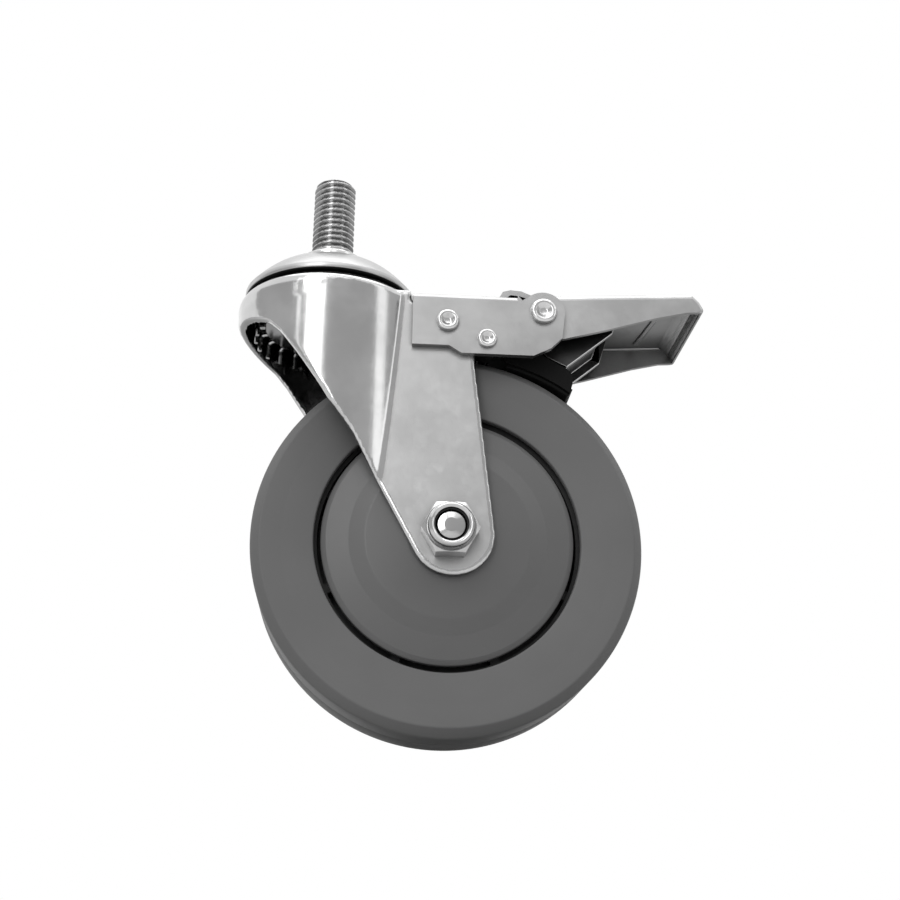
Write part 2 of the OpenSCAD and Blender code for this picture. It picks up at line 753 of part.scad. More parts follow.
// Brake arm, drawn as it stands at rest: cheeks beside the cam lever, a sleeve on
// the arm pin, and a tongue that reaches forward to just under the lock ring
module brake_arm() {
    wall_in = cam_y + side_gap;
    wall_out = tread_w / 2 - 0.6;
    sleeve_r = arm_pin_d / 2 + 1.3;
    tongue_y = 5;
    rise = 24 * sin(arm_swing);
    tongue_top = ring_top - finger_len - side_gap - rise;
    pad_r = wheel_r + 3.4;
    color("dimgray") difference() {
        union() {
            both_sides(wall_in, wall_out) polygon(concat(
                [for (a = [52 : 3 : 73]) about_pin_up(about_axle(a, wheel_r + 1.4))],
                [[48, -33], [43.4, arm_pin_at[1] - sleeve_r + 0.1], [39.6, -29.8], [39.6, -27.9], [52, -27.9]],
                [[57.9, -31.9], [60.9, -33.6], [64.6, -35.6], [66.2, -36.7], [66.9, -38.2], [66.8, -40.4]]
            ));
            for (s = [-1, 1]) translate([0, s > 0 ? 0 : -(half_gap - side_gap) - wall_in, 0])
                cross_pin(arm_pin_at, sleeve_r, wall_in, half_gap - side_gap);
            // Floor over the shoe, and the pad under the cam lever
            side_slab(-wall_out, wall_out) polygon(concat(
                [for (a = [52 : 3 : 73]) about_pin_up(about_axle(a, wheel_r + 1.4))],
                [for (a = [73 : -3 : 52]) about_pin_up(about_axle(a, wheel_r + 2.6))]
            ));
            side_slab(-wall_out, wall_out) polygon([
                about_pin_up(about_axle(58, wheel_r + 1.6)), about_pin_up(about_axle(65, wheel_r + 1.6)),
                about_pin_up(about_axle(65, pad_r)), about_pin_up(about_axle(58, pad_r))
            ]);
            // Top web and tongue
            side_slab(-wall_out, wall_out) polygon([[39.6, -29.2], [39.6, -27.9], [51.4, -27.9], [51.4, -29.2]]);
            side_slab(-tongue_y, tongue_y) polygon([
                [18.4, tongue_top], [27, tongue_top], [33, -27.9], [40, -27.9],
                [40, -29.2], [32.4, -29.2], [26.6, tongue_top - 1.6], [18.4, tongue_top - 1.6]
            ]);
        }
        cross_pin(arm_pin_at, arm_pin_d / 2 + run_gap, -half_gap, half_gap);
    }
}

// Where a point of the side view stands at rest, given where it is with the brake on
function about_pin_up(p) = [
    arm_pin_at[0] + (p[0] - arm_pin_at[0]) * cos(arm_swing) - (p[1] - arm_pin_at[1]) * sin(arm_swing),
    arm_pin_at[1] + (p[0] - arm_pin_at[0]) * sin(arm_swing) + (p[1] - arm_pin_at[1]) * cos(arm_swing)
];

// Brake shoe: the lining under the arm's floor that presses on the tread
module brake_shoe() {
    shoe_y = tread_w / 2 - 1.2;
    rub = wheel_r + side_gap;
    color("black") side_slab(-shoe_y, shoe_y) polygon(concat(
        [for (a = [52 : 3 : 73]) about_pin_up(about_axle(a, rub))],
        [for (a = [73 : -3 : 52]) about_pin_up(about_axle(a, wheel_r + 1.4))]
    ));
}

threaded_stem();
head_cap();
dust_seal();
lower_race();
lock_ring();
upper_balls();
lower_balls();
fork();
brake_housing();
housing_rivets();
arm_pin();
pedal_pin();
axle_bolt();
axle_nut();
nut_insert();
axle_bushes();
spacer_tube();
bearing_inner_rings();
thread_guard_near();
thread_guard_far();
tyre();
hub_core();
bearing_outer_rings();
bearing_balls();
bearing_shields();
pedal();
cam_lever();
brake_arm();
brake_shoe();
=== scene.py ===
import math

import bmesh
import bpy
from mathutils import Matrix, Vector
from mathutils.bvhtree import BVHTree
from mathutils.kdtree import KDTree


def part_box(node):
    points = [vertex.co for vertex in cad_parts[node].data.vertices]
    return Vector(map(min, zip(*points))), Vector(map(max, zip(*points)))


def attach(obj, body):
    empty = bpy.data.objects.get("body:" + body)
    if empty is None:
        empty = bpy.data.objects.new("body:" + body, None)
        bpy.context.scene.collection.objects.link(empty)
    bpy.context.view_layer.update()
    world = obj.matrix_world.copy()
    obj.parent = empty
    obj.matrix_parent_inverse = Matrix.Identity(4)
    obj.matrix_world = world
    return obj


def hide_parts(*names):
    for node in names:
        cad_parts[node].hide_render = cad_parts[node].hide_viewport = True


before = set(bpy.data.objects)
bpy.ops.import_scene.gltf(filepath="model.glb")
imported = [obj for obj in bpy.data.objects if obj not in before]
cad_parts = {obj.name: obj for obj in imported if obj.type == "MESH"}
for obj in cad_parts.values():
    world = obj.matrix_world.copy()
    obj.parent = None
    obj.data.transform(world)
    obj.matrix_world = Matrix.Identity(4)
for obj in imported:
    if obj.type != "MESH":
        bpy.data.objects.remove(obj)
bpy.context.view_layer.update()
mm = 0.001
print("frame loaded:", len(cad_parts), "nodes")


# One wrapped socket: the usual operators add the Math nodes that work them out
class Wire:
    def __init__(self, tree, socket):
        self.tree = tree
        self.socket = socket

    def math(self, operation, *others):
        inputs = {0: self}
        inputs.update({i + 1: value for i, value in enumerate(others)})
        return addNode(self.tree, "ShaderNodeMath", {"operation": operation}, inputs)

    def swapped(self, operation, first):
        return addNode(self.tree, "ShaderNodeMath", {"operation": operation}, {0: first, 1: self})

    def __add__(self, other): return self.math("ADD", other)
    def __radd__(self, other): return self.math("ADD", other)
    def __sub__(self, other): return self.math("SUBTRACT", other)
    def __rsub__(self, other): return self.swapped("SUBTRACT", other)
    def __mul__(self, other): return self.math("MULTIPLY", other)
    def __rmul__(self, other): return self.math("MULTIPLY", other)
    def __truediv__(self, other): return self.math("DIVIDE", other)
    def __rtruediv__(self, other): return self.swapped("DIVIDE", other)
    def __pow__(self, other): return self.math("POWER", other)
    def __neg__(self): return self.math("MULTIPLY", -1.0)

    # 0 below low, 1 above high, smooth between
    def ramp(self, low, high):
        settings = {"interpolation_type": "SMOOTHSTEP"}
        inputs = {"Value": self, "From Min": low, "From Max": high}
        return addNode(self.tree, "ShaderNodeMapRange", settings, inputs)


# Adds any node: settings first, then the values or links of its inputs
def addNode(tree, kind, settings=None, inputs=None, out=0):
    node = tree.nodes.new(kind)
    for name, value in (settings or {}).items():
        setattr(node, name, value)
    for name, value in (inputs or {}).items():
        if isinstance(value, Wire):
            tree.links.new(value.socket, node.inputs[name])
        else:
            node.inputs[name].default_value = value
    return Wire(tree, node.outputs[out])


def grey(tone):
    return (tone, tone, tone, 1)


# Mixes two colours by a factor
def blendColour(tree, factor, first, second):
    settings = {"data_type": "RGBA"}
    return addNode(tree, "ShaderNodeMix", settings, {0: factor, 6: first, 7: second}, out=2)


def noise(tree, place, scale, detail=2.0, roughness=0.5):
    inputs = {"Vector": place, "Scale": scale, "Detail": detail, "Roughness": roughness}
    return addNode(tree, "ShaderNodeTexNoise", {"noise_dimensions": "3D"}, inputs)


def startMaterial(name):
    material = bpy.data.materials.new(name)
    material.use_nodes = True
    tree = material.node_tree
    shader = tree.nodes["Principled BSDF"]
    place = addNode(tree, "ShaderNodeTexCoord", out=3)
    return material, tree, shader, place


def connect(tree, shader, colour, roughness, normal):
    for wire, name in ((colour, "Base Color"), (roughness, "Roughness"), (normal, "Normal")):
        tree.links.new(wire.socket, shader.inputs[name])


# Zinc plate: cloudy tone, fine grain in the gloss, faint rub marks, and a lighter edge tone on eased
# edges that is partly wear and partly painted highlight
zincLooks = {
    "bright": {"dark": 0.60, "light": 0.70, "gloss": 0.16, "grain": 0.06, "bump": 0.003, "edge": 0.80},
    "satin": {"dark": 0.50, "light": 0.58, "gloss": 0.32, "grain": 0.12, "bump": 0.012, "edge": 0.85},
    "leg": {"dark": 0.58, "light": 0.65, "gloss": 0.34, "grain": 0.12, "bump": 0.012, "edge": 0.80},
    # shaded is a dark copy of the zinc: painted shade for parts that sit in shadow, such as the cam lever
    "shaded": {"dark": 0.12, "light": 0.18, "gloss": 0.34, "grain": 0.12, "bump": 0.012, "edge": 0.80},
    "polished": {"dark": 0.66, "light": 0.78, "gloss": 0.16, "grain": 0.04, "bump": 0.002, "edge": 0.80},
}


# What all the plate shares: pattern scales per metre, where flat sides, open places and undersides
# begin and end, how dark the painted shade in closed places and on undersides gets, and how far a nook
# reaches
plateSkin = {
    "cloud": 70, "grain": 900, "rubs": 260, "rubDull": 0.06, "bump": 0.25,
    "flatSide": (0.9982, 0.9996),
    "nookReach": 20, "nookOpen": (0.2, 0.85), "nookShadeTone": 0.25,
    "underside": (0.6, 0.95), "undersideShare": 0.55, "undersideTone": 0.02,
}


# On the fork, flatLook is the duller finish of the legs' flat sides
def zincPlate(name, look, flatLook=None):
    values, skin = zincLooks[look], plateSkin
    material, tree, shader, place = startMaterial(name)
    cloud = noise(tree, place, skin["cloud"], 3).ramp(0.35, 0.65)
    grain = noise(tree, place, skin["grain"], 2)
    rubs = noise(tree, place, skin["rubs"], 4, 0.7).ramp(0.45, 0.75)
    facing = addNode(tree, "ShaderNodeTexCoord", out=1)
    colour = blendColour(tree, cloud, grey(values["dark"]), grey(values["light"]))
    # Eased edges turn lighter: partly wear, partly a painted highlight
    wearAndHighlight = addNode(tree, "ShaderNodeAttribute", {"attribute_name": "edgeWearAndHighlight"}, out=2)
    colour = blendColour(tree, wearAndHighlight, colour, grey(values["edge"]))
    gloss = values["gloss"]
    if flatLook:
        flat = zincLooks[flatLook]
        side = addNode(tree, "ShaderNodeSeparateXYZ", {}, {0: facing}, out=1)
        side = side.math("ABSOLUTE").ramp(*skin["flatSide"])
        flatColour = blendColour(tree, cloud, grey(flat["dark"]), grey(flat["light"]))
        colour = blendColour(tree, side, colour, flatColour)
        gloss = side * (flat["gloss"] - gloss) + gloss
    roughness = gloss + values["grain"] * (grain - 0.5) + skin["rubDull"] * rubs
    relief = {"Strength": skin["bump"], "Distance": values["bump"] * mm, "Height": grain}
    bump = addNode(tree, "ShaderNodeBump", {}, relief)
    shader.inputs["Metallic"].default_value = 1.0
    # Painted shade: the colour darkens where neighbours stand close, such as in folds and under the
    # pedal, and on undersides
    reach = {"Distance": skin["nookReach"] * mm}
    nookShadeAO = addNode(tree, "ShaderNodeAmbientOcclusion", {"samples": 8}, reach, out=1)
    nookShadeColour = blendColour(tree, skin["nookShadeTone"], grey(0.0), colour)
    colour = blendColour(tree, nookShadeAO.ramp(*skin["nookOpen"]), nookShadeColour, colour)
    # Painted shade on undersides: faces that point down get a darker colour
    height = addNode(tree, "ShaderNodeSeparateXYZ", {}, {0: facing}, out=2)
    under = (-height).ramp(*skin["underside"]) * skin["undersideShare"]
    colour = blendColour(tree, under, colour, grey(skin["undersideTone"]))
    connect(tree, shader, colour, roughness, bump)
    return material


# Soft tyre compound and moulded plastic: fine mottle and a matt skin
mouldedLooks = {
    "tyre": {"dark": 0.162, "light": 0.180, "gloss": 0.50, "speck": 1400, "bump": 0.020},
    "guard": {"dark": 0.155, "light": 0.168, "gloss": 0.32, "speck": 1100, "bump": 0.006},
    "core": {"dark": 0.018, "light": 0.026, "gloss": 0.55, "speck": 900, "bump": 0.020},
    "black": {"dark": 0.004, "light": 0.009, "gloss": 0.65, "speck": 1000, "bump": 0.020, "sheen": 0.12},
    "painted": {"dark": 0.004, "light": 0.009, "gloss": 0.62, "speck": 700, "bump": 0.010, "sheen": 0.15},
    "insert": {"dark": 0.02, "light": 0.03, "gloss": 0.50, "speck": 1000, "bump": 0.010},
}


# What they share: the mottle's scale per metre, how far speck and mottle dull the gloss, the bump
mouldedSkin = {"mottle": 45, "speckDull": 0.12, "mottleDull": 0.05, "bump": 0.3}


def moulded(name, look):
    values, skin = mouldedLooks[look], mouldedSkin
    material, tree, shader, place = startMaterial(name)
    mottle = noise(tree, place, skin["mottle"], 2).ramp(0.2, 0.8)
    speck = noise(tree, place, values["speck"], 2)
    colour = blendColour(tree, mottle, grey(values["dark"]), grey(values["light"]))
    roughness = values["gloss"] + skin["speckDull"] * (speck - 0.5) + skin["mottleDull"] * mottle
    relief = {"Strength": skin["bump"], "Distance": values["bump"] * mm, "Height": speck}
    bump = addNode(tree, "ShaderNodeBump", {}, relief)
    shader.inputs["Specular IOR Level"].default_value = values.get("sheen", 0.5)
    connect(tree, shader, colour, roughness, bump)
    return material


def dress(material, *nodeNames):
    for nodeName in nodeNames:
        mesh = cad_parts[nodeName].data
        mesh.materials.clear()
        mesh.materials.append(material)


brightZinc = zincPlate("brightZinc", "bright")
forkZinc = zincPlate("forkZinc", "bright", flatLook="leg")
satinZinc = zincPlate("satinZinc", "satin")
# Zinc darkened as painted shade, for parts that sit in shadow
shadedZinc = zincPlate("shadedZinc", "shaded")
polishedSteel = zincPlate("polishedSteel", "polished")
tyreCompound = moulded("tyreCompound", "tyre")
guardPlastic = moulded("guardPlastic", "guard")
corePlastic = moulded("corePlastic", "core")
blackRubber = moulded("blackRubber", "black")
blackSteel = moulded("blackSteel", "painted")
insertPlastic = moulded("insertPlastic", "insert")

dress(forkZinc, "fork")
dress(brightZinc, "head_cap", "threaded_stem", "axle_bolt", "axle_nut")
dress(satinZinc, "brake_housing", "pedal", "lock_ring")
# Painted shade: parts in shadow get the darkened zinc
dress(shadedZinc, "cam_lever", "lower_race", "axle_bushes", "spacer_tube", "bearing_shields")
dress(polishedSteel, "housing_rivets", "arm_pin", "pedal_pin", "upper_balls", "lower_balls")
dress(polishedSteel, "bearing_balls", "bearing_inner_rings", "bearing_outer_rings")
dress(tyreCompound, "tyre")
dress(guardPlastic, "thread_guard_near", "thread_guard_far")
dress(corePlastic, "hub_core")
dress(blackRubber, "dust_seal", "brake_arm", "brake_shoe")
dress(insertPlastic, "nut_insert")
print("materials made")


def addObject(name, data):
    thing = bpy.data.objects.new(name, data)
    bpy.context.scene.collection.objects.link(thing)
    return thing


# A piece rides on its body, and stands for the node that it has taken the place of
def seatPiece(piece, body, nodeName):
    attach(piece, body)
    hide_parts(nodeName)


def newPiece(name, mesh, material, body, nodeName):
    piece = addObject(name, mesh)
    mesh.materials.clear()
    mesh.materials.append(material)
    seatPiece(piece, body, nodeName)
    return piece


# Applies a piece's modifiers, so that it ends as a plain mesh
def settle(piece):
    graph = bpy.context.evaluated_depsgraph_get()
    mesh = bpy.data.meshes.new_from_object(piece.evaluated_get(graph))
    piece.modifiers.clear()
    piece.data = mesh


# A copy of a solid: joined up, then its flat faces cleared of stray edges
def copySolid(nodeName):
    shape = bmesh.new()
    shape.from_mesh(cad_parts[nodeName].data)
    bmesh.ops.remove_doubles(shape, verts=shape.verts, dist=0.00001)
    bmesh.ops.dissolve_limit(shape, angle_limit=math.radians(0.5), verts=shape.verts,
                             edges=shape.edges)
    mesh = bpy.data.meshes.new(nodeName + "Skin")
    shape.to_mesh(mesh)
    shape.free()
    return mesh


def shadeSmooth(mesh, angle):
    for face in mesh.polygons:
        face.use_smooth = True
    mesh.set_sharp_from_angle(angle=math.radians(angle))


# Sheet metal: edges sharper than an angle are eased, and faces over an area in mm2 are kept flat
sheetEdge = {"angle": 35, "segments": 2, "flatArea": 12}


# Eases a sheet's cut edges and marks the eased strips for the lighter edge tone along them, which is
# partly wear and partly painted highlight
def easedSheet(nodeName, material, body, width, corners=()):
    mesh = copySolid(nodeName)
    for where, radius in corners:
        roundCorners(mesh, where, radius)
    piece = newPiece(nodeName + "Skin", mesh, material, body, nodeName)
    bevel = piece.modifiers.new("ease", "BEVEL")
    bevel.width = width * mm
    bevel.segments = sheetEdge["segments"]
    bevel.limit_method = "ANGLE"
    bevel.angle_limit = math.radians(sheetEdge["angle"])
    bevel.material = 1
    piece.data.materials.append(material)
    settle(piece)
    markEdges(piece.data)
    shadeSmooth(piece.data, sheetEdge["angle"])
    for face in piece.data.polygons:
        face.use_smooth = face.area < sheetEdge["flatArea"] * mm * mm
    flatten = piece.modifiers.new("flatten", "WEIGHTED_NORMAL")
    flatten.keep_sharp = True
    settle(piece)


def markEdges(mesh):
    wearAndHighlightMark = mesh.attributes.new("edgeWearAndHighlight", "FLOAT", "CORNER")
    for face in mesh.polygons:
        for loop in face.loop_indices:
            wearAndHighlightMark.data[loop].value = float(face.material_index)
        face.material_index = 0
    mesh.materials.pop(index=1)


# Rounds a solid's edges whose two ends are both in the place that is asked for
def roundCorners(mesh, where, radius):
    shape = bmesh.new()
    shape.from_mesh(mesh)
    chosen = [edge for edge in shape.edges if edge.calc_face_angle(0) > 0.6
              and all(where(*vertex.co / mm) for vertex in edge.verts)]
    bmesh.ops.bevel(shape, geom=chosen, offset=radius * mm, segments=4, profile=0.5, affect="EDGES",
                    clamp_overlap=True)
    shape.to_mesh(mesh)
    shape.free()


# Fork: the solid remeshed in small cubes, then smoothed so that its faces run into each other.
# The legs are what lies below one height and behind one distance from the stem, in millimetres.
# Cut edges turn by more than sharp, in radians, and what is within reach of them is rounded evenly
forkSkin = {
    "voxel": 0.47, "rounds": 12, "strength": 1.6, "legsBelow": -36, "legsBehind": 26,
    "sharp": 0.5, "markStep": 0.3, "reach": 1.0, "evenFactor": 0.5, "evenRounds": 12,
}


def makeFork():
    piece = newPiece("forkSkin", copySolid("fork"), forkZinc, "fork_assembly", "fork")
    remesh = piece.modifiers.new("remesh", "REMESH")
    remesh.mode = "VOXEL"
    remesh.voxel_size = forkSkin["voxel"] * mm
    remesh.use_smooth_shade = True
    settle(piece)
    straightenLegs(piece.data)
    soften = piece.modifiers.new("soften", "LAPLACIANSMOOTH")
    soften.iterations = forkSkin["rounds"]
    soften.lambda_factor = forkSkin["strength"]
    soften.lambda_border = 0.0
    settle(piece)
    evenEdges(piece)
    print("fork skin has", len(piece.data.polygons), "faces")


# Puts the remeshed legs back on the solid's own straight edges
def straightenLegs(mesh):
    tree = BVHTree.FromPolygons(*meshLists(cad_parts["fork"].data))
    for vertex in mesh.vertices:
        if vertex.co.z < forkSkin["legsBelow"] * mm and vertex.co.x > forkSkin["legsBehind"] * mm:
            vertex.co = tree.find_nearest(vertex.co)[0]


# Rounds the cut edges of the remeshed fork evenly
def evenEdges(piece):
    near = markEdgeLines("fork")
    reach = forkSkin["reach"] * mm
    close = [vertex.index for vertex in piece.data.vertices if near.find(vertex.co)[2] < reach]
    piece.vertex_groups.new(name="cutEdges").add(close, 1.0, "ADD")
    even = piece.modifiers.new("even", "SMOOTH")
    even.factor = forkSkin["evenFactor"]
    even.iterations = forkSkin["evenRounds"]
    even.vertex_group = "cutEdges"
    settle(piece)
    piece.vertex_groups.clear()


# Points along a solid's cut edges, ready to be searched
def markEdgeLines(nodeName):
    solid = bmesh.new()
    solid.from_mesh(copySolid(nodeName))
    marks = []
    for edge in solid.edges:
        if edge.calc_face_angle(1) > forkSkin["sharp"]:
            first, second = edge.verts[0].co, edge.verts[1].co
            steps = max(1, math.ceil((second - first).length / (forkSkin["markStep"] * mm)))
            marks += [first.lerp(second, step / steps) for step in range(steps + 1)]
    solid.free()
    near = KDTree(len(marks))
    for number, mark in enumerate(marks):
        near.insert(mark, number)
    near.balance()
    return near


def meshLists(mesh):
    return [vertex.co for vertex in mesh.vertices], [tuple(face.vertices) for face in mesh.polygons]


# An outline of radius and height, with each corner rounded by its own fillet
def roundedOutline(corners):
    points, steps = [], 4
    for i, (radius, height, fillet) in enumerate(corners):
        here = Vector((radius, height))
        if fillet == 0 or i in (0, len(corners) - 1):
            points.append(here)
            continue
        before = Vector(corners[i - 1][:2]) - here
        after = Vector(corners[i + 1][:2]) - here
        turn = before.angle(after)
        reach = min(fillet / math.tan(turn / 2), before.length * 0.48, after.length * 0.48)
        start = here + before.normalized() * reach
        end = here + after.normalized() * reach
        for step in range(steps + 1):
            t = step / steps
            points.append(start * (1 - t) ** 2 + here * 2 * t * (1 - t) + end * t ** 2)
    return points


# Cosine and sine of evenly spaced turns round a circle
def aroundCircle(count):
    angles = [2 * math.pi * k / count for k in range(count)]
    return [(math.cos(angle), math.sin(angle)) for angle in angles]


# Turned shape: spins an outline about an axis that starts at its place
def lathe(name, corners, place, axis, segments=128):
    shape = bmesh.new()
    rings = []
    for point in roundedOutline(corners):
        if point.x < 1e-6:
            rings.append([shape.verts.new((0, 0, point.y * mm))])
            continue
        rings.append([shape.verts.new((c * point.x * mm, s * point.x * mm, point.y * mm))
                      for c, s in aroundCircle(segments)])
    for low, high in zip(rings, rings[1:]):
        for k in range(segments):
            n = k + 1
            ring = [low[k % len(low)], low[n % len(low)], high[n % len(high)], high[k % len(high)]]
            shape.faces.new(list(dict.fromkeys(ring)))
    return placeShape(shape, name, place, axis, 50)


# Turns a shape made round Z onto an axis, moves it to its place and makes it a mesh
def placeShape(shape, name, place, axis, smoothAngle):
    bmesh.ops.remove_doubles(shape, verts=shape.verts, dist=1e-7)
    bmesh.ops.recalc_face_normals(shape, faces=shape.faces)
    turn = Vector((0, 0, 1)).rotation_difference(Vector(axis)).to_matrix().to_4x4()
    shape.transform(Matrix.Translation(Vector(place) * mm) @ turn)
    mesh = bpy.data.meshes.new(name)
    shape.to_mesh(mesh)
    shape.free()
    shadeSmooth(mesh, smoothAngle)
    return mesh


# Middle of a CAD node's box, in millimetres
def middleOf(nodeName):
    low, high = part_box(nodeName)
    return [(first + second) / 2 / mm for first, second in zip(low, high)]


axle = middleOf("tyre")
makeFork()
easedSheet("brake_housing", satinZinc, "fork_assembly", 0.35)

# The pedal's end: where its outer and inner corners stand, and the radius that each gets
pedalEnd, pedalHalf = (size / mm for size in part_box("pedal")[1][:2])
pedalCorners = (
    (lambda x, y, z: x > pedalEnd - 3 and abs(y) > pedalHalf - 0.3, 2.4),
    (lambda x, y, z: pedalEnd - 4 < x < pedalEnd - 1 and pedalHalf - 1.6 < abs(y) < pedalHalf - 1, 1.2),
)
easedSheet("pedal", satinZinc, "pedal_assembly", 0.35, corners=pedalCorners)

# Rib pressed into the pedal's web, seen from below
ribShape = {"from": (93.8, -12.2), "to": (90.4, 12.2), "radius": 0.9, "sunk": 0.15}


def makePedalRib():
    r = ribShape["radius"]
    tree = BVHTree.FromPolygons(*meshLists(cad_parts["pedal"].data))
    ends = []
    for x, y in (ribShape["from"], ribShape["to"]):
        under = tree.ray_cast(Vector((x, y, -60)) * mm, Vector((0, 0, 1)))[0]
        ends.append(under / mm + Vector((0, 0, ribShape["sunk"])))
    along = ends[1] - ends[0]
    length = along.length
    outline = [(0, -r, 0), (r, -r, 0.7), (r, length + r, 0.7), (0, length + r, 0)]
    piece = addObject("pedalRib", lathe("pedalRib", outline, ends[0], along.normalized(), 24))
    piece.data.materials.append(satinZinc)
    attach(piece, "pedal_assembly")


makePedalRib()
easedSheet("cam_lever", shadedZinc, "pedal_assembly", 0.3)
easedSheet("brake_arm", blackSteel, "brake_arm_assembly", 0.3)
easedSheet("brake_shoe", blackRubber, "brake_arm_assembly", 0.4)
print("sheet metal made")


# Wheel: outlines are radius, distance from the wheel's middle plane, corner rounding
wheelShape = {
    "radius": 50.8, "half": 13.5, "shoulder": 2.4, "throat": 34.6, "face": 12.2, "inner": 36.8,
}
guardShape = {
    "radius": 32.8, "hub": 5.8, "stepOut": 25.6, "stepIn": 21.4, "rim": 12.1, "top": 15.75,
    "wall": 1.7, "drop": 1.0, "rise": 1.2, "spigot": 2.5, "foot": 12.6,
}


def makeWheel():
    w = wheelShape
    side = [
        (w["inner"], 0, 0), (w["inner"], w["face"] - 2, 0), (w["throat"], w["face"] - 2, 0.2),
        (w["throat"], w["face"], 0.6), (w["radius"] - 8, w["half"] - 0.65, 2),
        (w["radius"] - w["shoulder"], w["half"], 0.8), (w["radius"], w["half"] - w["shoulder"], 1.6),
        (w["radius"], 0.25, 0), (w["radius"] - 0.12, 0, 0),
    ]
    mirrored = [(r, -y, f) for r, y, f in side[-2:0:-1]]
    mesh = lathe("tyreSkin", side + mirrored + side[:1], axle, (0, 1, 0), 256)
    newPiece("tyreSkin", mesh, tyreCompound, "wheel", "tyre")


def makeGuard(name, nodeName, side):
    g = guardShape
    hub, rim, top, wall, radius = (g[key] for key in ("hub", "rim", "top", "wall", "radius"))
    inner, outer, spigot = top - g["drop"], rim + g["rise"], hub + g["spigot"]
    outline = [
        (hub, top, 0), (hub + 5, top, 1), (g["stepIn"], inner, 3), (g["stepOut"], outer, 3),
        (radius - 1.3, rim, 0.8), (radius, rim - 0.9, 0.6), (radius, rim - 2.5, 0.2),
        (radius - 1.4, rim - 2.5, 0.2), (radius - 1.7, rim - wall + 0.1, 0.8),
        (g["stepOut"], outer - wall, 3), (g["stepIn"], inner - wall, 3),
        (spigot, top - wall, 0), (spigot, g["foot"], 0.2), (hub, g["foot"], 0), (hub, top, 0),
    ]
    mesh = lathe(name, outline, axle, (0, side, 0), 192)
    newPiece(name, mesh, guardPlastic, "fork_assembly", nodeName)


makeWheel()
makeGuard("guardNear", "thread_guard_near", -1)
makeGuard("guardFar", "thread_guard_far", 1)
print("wheel made")

# Rivets and pins: a raised rim round a dimple at each end
rivetShapes = {
    "pedal_pin": {"head": 3.6, "height": 1.6, "shank": 2.5, "foot": 0.0},
    "arm_pin": {"head": 2.65, "height": 1.28, "shank": 2.0, "foot": 0.0},
    "housing_rivets": {"head": 3.05, "height": 1.6, "shank": 2.2, "foot": 15.8},
}


# Shares of a head's radius and height, with the fillet of each corner
rivetProfile = (
    (0, 0.30, 0), (0.30, 0.34, 0.6), (0.62, 0.94, 0.5), (0.78, 1, 0.6), (0.95, 0.80, 0.5),
    (1, 0.30, 0.5), (1, 0, 0),
)


def rivetEnd(shape, face):
    r, h = shape["head"], shape["height"]
    outline = [(across * r, face + up * h, fillet) for across, up, fillet in rivetProfile]
    return outline + [(shape["shank"], face, 0)]


def makeRivets(nodeName):
    shape = rivetShapes[nodeName]
    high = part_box(nodeName)[1]
    centre = middleOf(nodeName)
    place = (centre[0], 0, centre[2])
    end = rivetEnd(shape, high[1] / mm - shape["height"])
    if shape["foot"]:
        seat, wide = shape["foot"], shape["head"]
        end += [(shape["shank"], seat, 0), (wide, seat, 0.2)]
        end += [(wide - 0.5, seat - 0.8, 0.3), (0, seat - 0.8, 0)]
        meshes = [lathe(nodeName, end, place, (0, side, 0), 64) for side in (-1, 1)]
    else:
        end += [(r, -y, f) for r, y, f in reversed(end)]
        meshes = [lathe(nodeName, end, place, (0, 1, 0), 64)]
    mesh = joinMeshes(nodeName + "Skin", meshes)
    newPiece(nodeName + "Skin", mesh, polishedSteel, "fork_assembly", nodeName)


def joinMeshes(name, meshes):
    shape = bmesh.new()
    for mesh in meshes:
        shape.from_mesh(mesh)
    joined = bpy.data.meshes.new(name)
    shape.to_mesh(joined)
    shape.free()
    shadeSmooth(joined, 50)
    return joined


for nodeName in rivetShapes:
    makeRivets(nodeName)
print("rivets made")

# Domed cap of the swivel head
capShape = {
    "bore": 5.0, "start": 9.0, "rim": 23.8, "top": -3.0, "foot": -13.8, "shoulder": -12.3,
    "lip": 3.1, "slope": 0.45, "crown": 2.3,
}


def makeCap():
    c = capShape
    dome = []
    for step in range(33):
        a = math.radians(90 * step / 32)
        dome.append((c["start"] + (c["rim"] - c["start"]) * math.sin(a),
                     c["shoulder"] + (c["top"] - c["shoulder"]) * math.cos(a) ** 2, 0))
    lip, inside, under = c["rim"] - c["lip"], c["start"] + 0.5, c["top"] - c["crown"]
    outline = [(c["bore"], c["top"], 0)] + dome + [
        (c["rim"], c["foot"], 0.4), (lip, c["foot"], 0.2),
        (lip, under - c["slope"] * (lip - inside), 0.5), (inside, under, 0.5),
        (c["bore"], under, 0), (c["bore"], c["top"], 0),
    ]
    mesh = lathe("capSkin", outline, (0, 0, 0), (0, 0, 1), 192)
    newPiece("capSkin", mesh, satinZinc, "head", "head_cap")


makeCap()

# Stem: rolled thread above, shoulder collar and kingpin below
stemShape = {
    "radius": 5.95, "pitch": 1.75, "depth": 0.95, "plain": 1.4, "length": 25, "chamfer": 1.5,
    "collar": 9.0, "collarHigh": 3.0, "pin": 5.0, "rivetWide": 2.5, "rivetHigh": 2.0,
}
stemRows = {"around": 96, "along": 300}


# Starts a tree whose named inputs are a mesh, counts, sizes and a material
def startTree(name, sizes, counts=()):
    tree = bpy.data.node_groups.new(name, "GeometryNodeTree")
    kinds = [("Geometry", "Geometry")] + [(label, "Int") for label in counts]
    kinds += [(label, "Float") for label in sizes] + [("Material", "Material")]
    for label, kind in kinds:
        tree.interface.new_socket(label, in_out="INPUT", socket_type="NodeSocket" + kind)
    tree.interface.new_socket("Geometry", in_out="OUTPUT", socket_type="NodeSocketGeometry")
    entry = tree.nodes.new("NodeGroupInput")
    return tree, {socket.name: Wire(tree, socket) for socket in entry.outputs if socket.name}


def joinGeometry(tree, *parts):
    joined = tree.nodes.new("GeometryNodeJoinGeometry")
    for part in parts:
        tree.links.new(part.socket, joined.inputs[0])
    return Wire(tree, joined.outputs[0])


